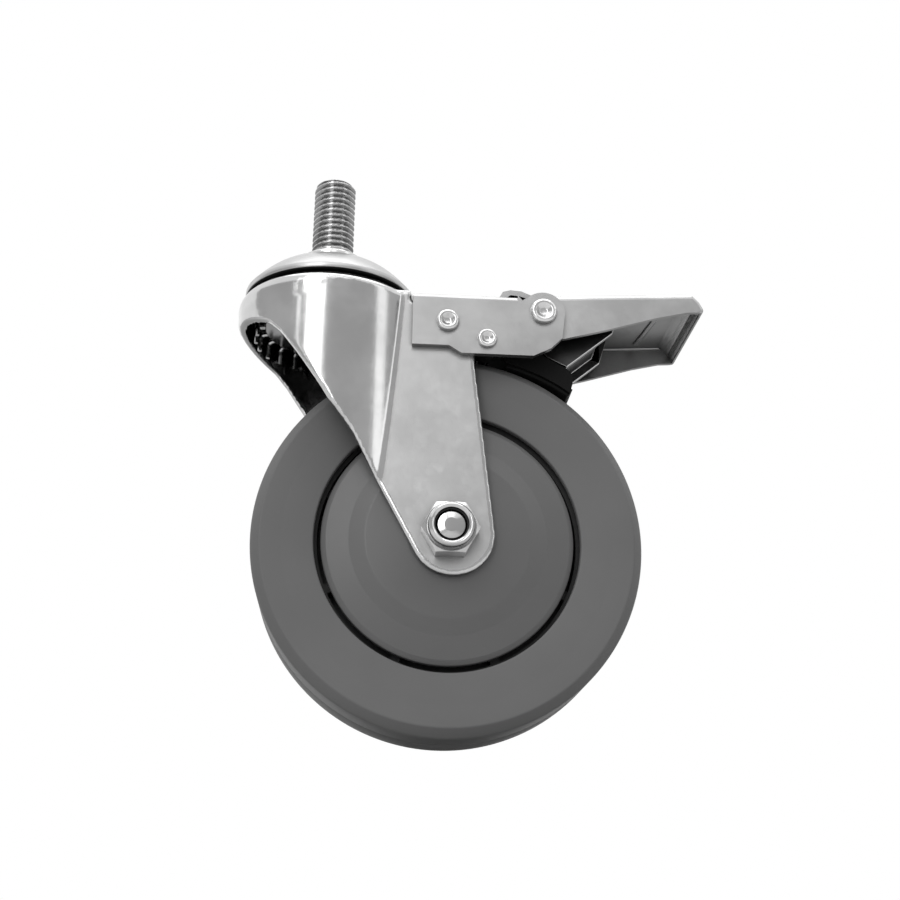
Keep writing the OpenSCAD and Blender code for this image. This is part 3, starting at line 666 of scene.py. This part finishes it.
# Joins what a tree has made to the mesh that it was given, and ends the tree
def endTree(tree, given, made):
    whole = joinGeometry(tree, made, given["Geometry"])
    whole = addNode(tree, "GeometryNodeRealizeInstances", {}, {0: whole})
    whole = addNode(tree, "GeometryNodeSetMaterial", {}, {0: whole, "Material": given["Material"]})
    leave = tree.nodes.new("NodeGroupOutput")
    tree.links.new(whole.socket, leave.inputs[0])
    return tree


def threadTree():
    labels = ("Radius", "Pitch", "Depth", "Plain", "Length", "Chamfer")
    tree, given = startTree("rolledThread", labels)
    rows = {"Vertices X": stemRows["around"] + 1, "Vertices Y": stemRows["along"]}
    grid = addNode(tree, "GeometryNodeMeshGrid", {}, {"Size X": 1.0, "Size Y": 1.0, **rows})
    spot = addNode(tree, "GeometryNodeInputPosition")
    split = addNode(tree, "ShaderNodeSeparateXYZ", {}, {0: spot})
    across = split + 0.5
    along = Wire(tree, split.socket.node.outputs[1]) + 0.5
    # One row at each end closes to a point, so the rod has no open end
    row = given["Length"] / (stemRows["along"] - 3.0)
    reach = along * (given["Length"] + 2 * row) - row
    height = reach.math("MAXIMUM", 0.0).math("MINIMUM", given["Length"])
    closing = ((reach - height).math("ABSOLUTE") / row).math("MINIMUM", 1.0)
    wave = (height / given["Pitch"] - across).math("FRACT").math("PINGPONG", 0.5) * 2
    crest = ((wave - 0.12) / 0.76).math("MAXIMUM", 0.0).math("MINIMUM", 1.0)
    runOut = ((height - given["Plain"]) / given["Pitch"]).math("MAXIMUM", 0.0).math("MINIMUM", 1.0)
    threaded = given["Radius"] - given["Depth"] * (1 - crest) * runOut
    topPart = ((height - given["Length"]) / given["Chamfer"] + 1).math("MAXIMUM", 0.0)
    chamfered = given["Radius"] - given["Chamfer"] * topPart * topPart
    radius = threaded.math("MINIMUM", chamfered) * (1 - closing)
    angle = across * (2 * math.pi)
    placed = addNode(tree, "ShaderNodeCombineXYZ", {}, {
        0: radius * angle.math("COSINE"), 1: radius * angle.math("SINE"), 2: height})
    rod = addNode(tree, "GeometryNodeSetPosition", {}, {"Geometry": grid, "Position": placed})
    rod = addNode(tree, "GeometryNodeMergeByDistance", {}, {"Geometry": rod, "Distance": 1e-6})
    return endTree(tree, given, rod)


# Adds a tree to a piece, sets its named inputs, and keeps the result as a plain mesh
def growPiece(name, base, tree, values):
    piece = addObject(name, base)
    modifier = piece.modifiers.new("grow", "NODES")
    modifier.node_group = tree
    inputs = [item for item in tree.interface.items_tree if item.in_out == "INPUT"]
    labels = {item.name: item.identifier for item in inputs}
    for label, value in values.items():
        modifier[labels[label]] = value
    settle(piece)
    return piece


def makeStem():
    k = stemShape
    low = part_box("threaded_stem")[0][2] / mm
    collar, pin, under = k["collar"], k["pin"], -k["collarHigh"]
    head, seat = pin + k["rivetWide"], low + k["rivetHigh"]
    kingpin = [
        (0, 0, 0), (collar, 0, 0.5), (collar, under, 0.3), (pin, under, 0), (pin, seat, 0),
        (head, seat, 0.4), (head - 0.3, low + 0.6, 1), (pin, low, 1), (0, low, 0),
    ]
    base = lathe("stemBase", kingpin, (0, 0, 0), (0, 0, 1), 96)
    sizes = ("radius", "pitch", "depth", "plain", "length", "chamfer")
    values = {size.capitalize(): k[size] * mm for size in sizes}
    piece = growPiece("stemSkin", base, threadTree(), {**values, "Material": brightZinc})
    shape = bmesh.new()
    shape.from_mesh(piece.data)
    bmesh.ops.recalc_face_normals(shape, faces=shape.faces)
    shape.to_mesh(piece.data)
    shape.free()
    shadeSmooth(piece.data, 40)
    seatPiece(piece, "head", "threaded_stem")


makeStem()

# Swivel lock ring: a plate with narrow fingers bent down round its rim
fingerShape = {
    "count": 24, "width": 1.3, "thick": 1.0, "inset": 3.4, "bend": 1.7, "corner": 0.35,
    "tip": 0.16, "overlap": 0.6, "plate": 1.2, "bore": 5,
}


def fingerTree():
    labels = ("Radius", "Top", "Length", "Inset", "Bend", "Width", "Thick", "Corner", "Tip")
    tree, given = startTree("bentFingers", labels, ("Count",))

    def point(x, z):
        return addNode(tree, "ShaderNodeCombineXYZ", {}, {0: x, 2: z})

    radius, top, bend = given["Radius"], given["Top"], given["Bend"]
    flat = addNode(tree, "GeometryNodeCurvePrimitiveLine", {}, {
        "Start": point(radius - given["Inset"], top), "End": point(radius - bend, top)})
    curl = addNode(tree, "GeometryNodeCurveQuadraticBezier", {}, {
        "Resolution": 8, "Start": point(radius - bend, top), "Middle": point(radius, top),
        "End": point(radius, top - bend)})
    hang = addNode(tree, "GeometryNodeCurvePrimitiveLine", {}, {
        "Start": point(radius, top - bend), "End": point(radius, top - given["Length"])})
    parts = [addNode(tree, "GeometryNodeCurveToMesh", {}, {"Curve": part})
             for part in (hang, curl, flat)]
    path = joinGeometry(tree, *parts)
    path = addNode(tree, "GeometryNodeMergeByDistance", {}, {"Geometry": path, "Distance": 1e-5})
    path = addNode(tree, "GeometryNodeMeshToCurve", {}, {"Mesh": path})
    path = addNode(tree, "GeometryNodeResampleCurve", {}, {"Curve": path, "Count": 36})
    spot = addNode(tree, "GeometryNodeInputPosition")
    place = addNode(tree, "ShaderNodeSeparateXYZ", {}, {0: spot})
    aboveEnd = Wire(tree, place.socket.node.outputs[2]) - (top - given["Length"])
    slack = 1 - (aboveEnd / (given["Width"] / 2)).math("MINIMUM", 1.0)
    tipRound = (1 - slack ** 2.0).math("MAXIMUM", 0.0) ** 0.5
    path = addNode(tree, "GeometryNodeSetCurveRadius", {}, {
        "Curve": path, "Radius": tipRound.math("MAXIMUM", given["Tip"])})
    profile = addNode(tree, "GeometryNodeCurvePrimitiveQuadrilateral", {}, {
        "Width": given["Width"], "Height": given["Thick"]})
    fillet = {"Curve": profile, "Radius": given["Corner"]}
    profile = addNode(tree, "GeometryNodeFilletCurve", {}, fillet)
    finger = addNode(tree, "GeometryNodeCurveToMesh", {}, {
        "Curve": path, "Profile Curve": profile, "Fill Caps": True})
    spots = addNode(tree, "GeometryNodePoints", {}, {"Count": given["Count"]})
    turn = addNode(tree, "GeometryNodeInputIndex") * (2 * math.pi) / given["Count"]
    turn = addNode(tree, "ShaderNodeCombineXYZ", {}, {2: turn})
    turn = addNode(tree, "FunctionNodeEulerToRotation", {}, {0: turn})
    spread = {"Points": spots, "Instance": finger, "Rotation": turn}
    return endTree(tree, given, addNode(tree, "GeometryNodeInstanceOnPoints", {}, spread))


def makeLockRing():
    f = fingerShape
    low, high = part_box("lock_ring")
    rim, top, foot = high[0] / mm, high[2] / mm, low[2] / mm
    plate, under, bore = rim - f["inset"] + f["overlap"], top - f["plate"], f["bore"]
    outline = [
        (bore, top, 0), (plate, top, 0.3), (plate, under, 0.3), (bore, under, 0), (bore, top, 0)]
    base = lathe("ringPlate", outline, (0, 0, 0), (0, 0, 1), 96)
    half = f["thick"] / 2
    values = {"Count": f["count"], "Radius": (rim - half) * mm, "Top": (top - half) * mm,
              "Length": (top - foot - half) * mm, "Material": polishedSteel, "Tip": f["tip"]}
    sizes = ("inset", "bend", "width", "thick", "corner")
    values.update({size.capitalize(): f[size] * mm for size in sizes})
    piece = growPiece("lockRingSkin", base, fingerTree(), values)
    shadeSmooth(piece.data, 40)
    seatPiece(piece, "head", "lock_ring")
    print("lock ring has", len(piece.data.polygons), "faces")


makeLockRing()
print("swivel head made")

# Lock nut: hexagon with turned corners, round collar, and the bolt's end inside it
nutShape = {
    "flats": 13.0, "bore": 4.0, "hexHeight": 5.3, "height": 8.0, "collar": 6.0, "mouth": 4.9,
    "lip": 4.4, "chamfer": 0.99,
}
boltShape = {"flats": 13.0, "height": 5.3, "chamfer": 0.97, "shank": 4}


# Six-sided rings with the corners turned down by a cone at the outer face
def hexRings(flats, height, chamfer, steps=96):
    rings = []
    cone = flats / 2 * chamfer
    slope = math.tan(math.radians(30))
    for level in ("base", "edge", "face"):
        ring = []
        for k, (c, s) in enumerate(aroundCircle(steps)):
            a = 2 * math.pi * k / steps
            corner = flats / 2 / math.cos(a % (math.pi / 3) - math.pi / 6)
            drop = max(0.0, corner - cone) * slope
            r = corner if level != "face" else min(corner, cone)
            ring.append((c * r, s * r, {"base": 0.0, "edge": height - drop, "face": height}[level]))
        rings.append(ring)
    return rings


def circleRing(radius, height, steps=96):
    return [(c * radius, s * radius, height) for c, s in aroundCircle(steps)]


# Joins rings of equal counts. Closed runs back to the first ring, otherwise both ends are capped
def ringMesh(name, rings, place, axis, closed):
    shape = bmesh.new()
    rows = [[shape.verts.new([value * mm for value in point]) for point in ring] for ring in rings]
    pairs = list(zip(rows, rows[1:])) + ([(rows[-1], rows[0])] if closed else [])
    for low, high in pairs:
        for k in range(len(low)):
            n = (k + 1) % len(low)
            shape.faces.new((low[k], low[n], high[n], high[k]))
    if not closed:
        shape.faces.new(rows[0])
        shape.faces.new(rows[-1])
    return placeShape(shape, name, place, axis, 30)


def makeNut():
    n = nutShape
    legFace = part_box("axle_nut")[1][1] / mm
    hexHeight, height, collar, lip = n["hexHeight"], n["height"], n["collar"], n["lip"]
    outline = [
        (collar + 0.1, hexHeight), (collar, hexHeight + 0.4), (collar, height - 1.2),
        (collar - 0.15, height - 0.7), (collar - 0.45, height - 0.25), (collar - 0.85, height),
        (lip + 0.35, height - 0.12), (lip, height - 0.4), (lip, height - 0.6),
        (n["mouth"], height - 0.65), (n["mouth"], hexHeight), (n["bore"], hexHeight), (n["bore"], 0),
    ]
    rings = hexRings(n["flats"], hexHeight, n["chamfer"])
    rings += [circleRing(*point) for point in outline]
    mesh = ringMesh("nutSkin", rings, (axle[0], legFace, axle[2]), (0, -1, 0), True)
    newPiece("nutSkin", mesh, brightZinc, "fork_assembly", "axle_nut")


def makeBolt():
    b = boltShape
    low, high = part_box("axle_bolt")
    face, end = high[1] / mm - b["height"], low[1] / mm
    outline = [
        (0, face, 0), (b["shank"], face, 0), (b["shank"], end + 1.0, 0),
        (b["shank"] - 0.5, end + 0.45, 0.4), (1.8, end + 0.1, 1.2), (0, end, 0),
    ]
    shank = lathe("shank", outline, (axle[0], 0, axle[2]), (0, 1, 0), 96)
    rings = hexRings(b["flats"], b["height"], b["chamfer"])
    head = ringMesh("head", rings, (axle[0], face, axle[2]), (0, 1, 0), False)
    mesh = joinMeshes("boltSkin", [shank, head])
    newPiece("boltSkin", mesh, brightZinc, "fork_assembly", "axle_bolt")


makeNut()
makeBolt()
print("axle made")


# The photograph's viewpoint: just below the wheel and a little to its left
viewpoint = {
    "place": (11.1, -335.4, -181.2), "yaw": -0.070, "pitch": 0.3565, "roll": 0.012,
    "lens": 52.3, "sensor": 36.0,
}
studio = {
    "backdrop": 1.0, "room": 0.58, "below": 0.22, "horizon": (-0.4, 0.2),
    "floor": 0.80, "floorGloss": 0.9, "floorHalf": 8.0, "floorDrop": 0.0002,
    "aim": (0.02, 0, -0.05),
    "softboxes": {
        "keyBox": {"turn": -22, "rise": 24, "far": 0.9, "size": (0.29, 0.75), "shine": 2.6},
        "stripBox": {"turn": -41, "rise": 24, "far": 0.9, "size": (0.03, 0.6), "shine": 2.2},
        "sideBox": {"turn": 57, "rise": 20, "far": 0.9, "size": (0.20, 0.6), "shine": 0.9},
        "frontBox": {"turn": 5, "rise": 38, "far": 0.9, "size": (0.24, 0.24), "shine": 0.7},
        "lowBox": {"turn": -55, "rise": -50, "far": 0.9, "size": (0.4, 0.4), "shine": 1.1},
        "topBox": {"turn": 0, "rise": 88, "far": 0.8, "size": (0.8, 0.6), "shine": 1.6},
    },
    "curtainTone": 0.46, "curtainFar": 1.3, "curtainLow": -0.6, "curtainHigh": 0.8,
    "curtainTurn": 100,
}


def placeCamera():
    camera = addObject("camera", bpy.data.cameras.new("camera"))
    yaw, pitch, roll = viewpoint["yaw"], viewpoint["pitch"], viewpoint["roll"]
    ahead = Vector((-math.sin(yaw) * math.cos(pitch), math.cos(yaw) * math.cos(pitch),
                    math.sin(pitch)))
    side = Vector((math.cos(yaw), math.sin(yaw), 0))
    place = Vector(viewpoint["place"]) * mm
    up = side.cross(ahead)
    right = side * math.cos(roll) + up * math.sin(roll)
    top = up * math.cos(roll) - side * math.sin(roll)
    camera.matrix_world = Matrix((
        (right.x, top.x, -ahead.x, place.x),
        (right.y, top.y, -ahead.y, place.y),
        (right.z, top.z, -ahead.z, place.z),
        (0, 0, 0, 1),
    ))
    camera.data.lens = viewpoint["lens"]
    camera.data.sensor_width = viewpoint["sensor"]
    camera.data.clip_start = 0.01
    bpy.context.scene.camera = camera


# A softbox stands turn degrees round from the front and rise degrees up, and faces the castor
def softbox(name, turn, rise, far, size, shine):
    lamp = bpy.data.lights.new(name, "AREA")
    lamp.shape = "RECTANGLE"
    lamp.size, lamp.size_y = size
    lamp.energy = shine * math.pi * size[0] * size[1]
    around, up = math.radians(turn), math.radians(rise)
    place = Vector((math.sin(around) * math.cos(up), -math.cos(around) * math.cos(up),
                    math.sin(up))) * far
    holder = addObject(name, lamp)
    holder.location = place + Vector(studio["aim"])
    holder.rotation_euler = (-place).to_track_quat("-Z", "Y").to_euler()


# Grey curtain round the front of the studio, seen only in the metal's reflections
def hangCurtain():
    material = bpy.data.materials.new("greyCurtain")
    material.use_nodes = True
    tree = material.node_tree
    tree.nodes.remove(tree.nodes["Principled BSDF"])
    light = {"Color": grey(studio["curtainTone"]), "Strength": 1.0}
    glow = addNode(tree, "ShaderNodeEmission", {}, light)
    tree.links.new(glow.socket, tree.nodes["Material Output"].inputs["Surface"])
    far, turn = studio["curtainFar"], studio["curtainTurn"]
    heights = (studio["curtainLow"], studio["curtainHigh"])
    points, faces = [], []
    for step in range(25):
        a = math.radians(-turn + 2 * turn * step / 24)
        points += [(math.sin(a) * far, -math.cos(a) * far, z) for z in heights]
        if step:
            k = 2 * step
            faces.append((k - 2, k, k + 1, k - 1))
    mesh = bpy.data.meshes.new("curtain")
    mesh.from_pydata(points, [], faces)
    mesh.materials.append(material)
    curtain = addObject("curtain", mesh)
    curtain.visible_camera = False
    curtain.visible_diffuse = False
    curtain.visible_shadow = False
    curtain.visible_transmission = False


# White behind the castor for the camera and for mirror-like reflections, a dimmer room for the rest
def lightRoom():
    world = bpy.data.worlds.new("studio")
    bpy.context.scene.world = world
    world.use_nodes = True
    tree = world.node_tree
    tree.nodes.clear()
    rays = tree.nodes.new("ShaderNodeLightPath")
    seen = Wire(tree, rays.outputs["Is Camera Ray"])
    glossy = Wire(tree, rays.outputs["Is Glossy Ray"])
    through = Wire(tree, rays.outputs["Is Transmission Ray"])
    white = seen.math("MAXIMUM", glossy).math("MAXIMUM", through)
    # The room is dimmer below than above
    sky = addNode(tree, "ShaderNodeTexCoord", out=0)
    height = addNode(tree, "ShaderNodeSeparateXYZ", {}, {0: sky}, out=2)
    room = height.ramp(*studio["horizon"]) * (studio["room"] - studio["below"]) + studio["below"]
    strength = room + (studio["backdrop"] - room) * white
    shine = addNode(tree, "ShaderNodeBackground", {}, {"Color": grey(1.0), "Strength": strength})
    output = tree.nodes.new("ShaderNodeOutputWorld")
    tree.links.new(shine.socket, output.inputs["Surface"])


# Pale floor under the wheel, left out where it is seen from below
def layFloor():
    material = bpy.data.materials.new("paleFloor")
    material.use_nodes = True
    tree = material.node_tree
    shader = tree.nodes["Principled BSDF"]
    shader.inputs["Base Color"].default_value = grey(studio["floor"])
    shader.inputs["Roughness"].default_value = studio["floorGloss"]
    clear = addNode(tree, "ShaderNodeBsdfTransparent")
    below = addNode(tree, "ShaderNodeNewGeometry", out=6)
    seen = Wire(tree, shader.outputs[0])
    mixed = addNode(tree, "ShaderNodeMixShader", {}, {0: below, 1: seen, 2: clear})
    tree.links.new(mixed.socket, tree.nodes["Material Output"].inputs["Surface"])
    half = studio["floorHalf"]
    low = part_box("tyre")[0][2] - studio["floorDrop"]
    mesh = bpy.data.meshes.new("floor")
    corners = [(-half, -half, low), (half, -half, low), (half, half, low), (-half, half, low)]
    mesh.from_pydata(corners, [], [(0, 1, 2, 3)])
    mesh.materials.append(material)
    floor = addObject("floor", mesh)
    floor.visible_diffuse = False
    floor.visible_shadow = False


placeCamera()
lightRoom()
layFloor()
hangCurtain()
for name, values in studio["softboxes"].items():
    softbox(name, **values)
bpy.context.scene.view_settings.view_transform = "Standard"
print("camera and lamps placed")
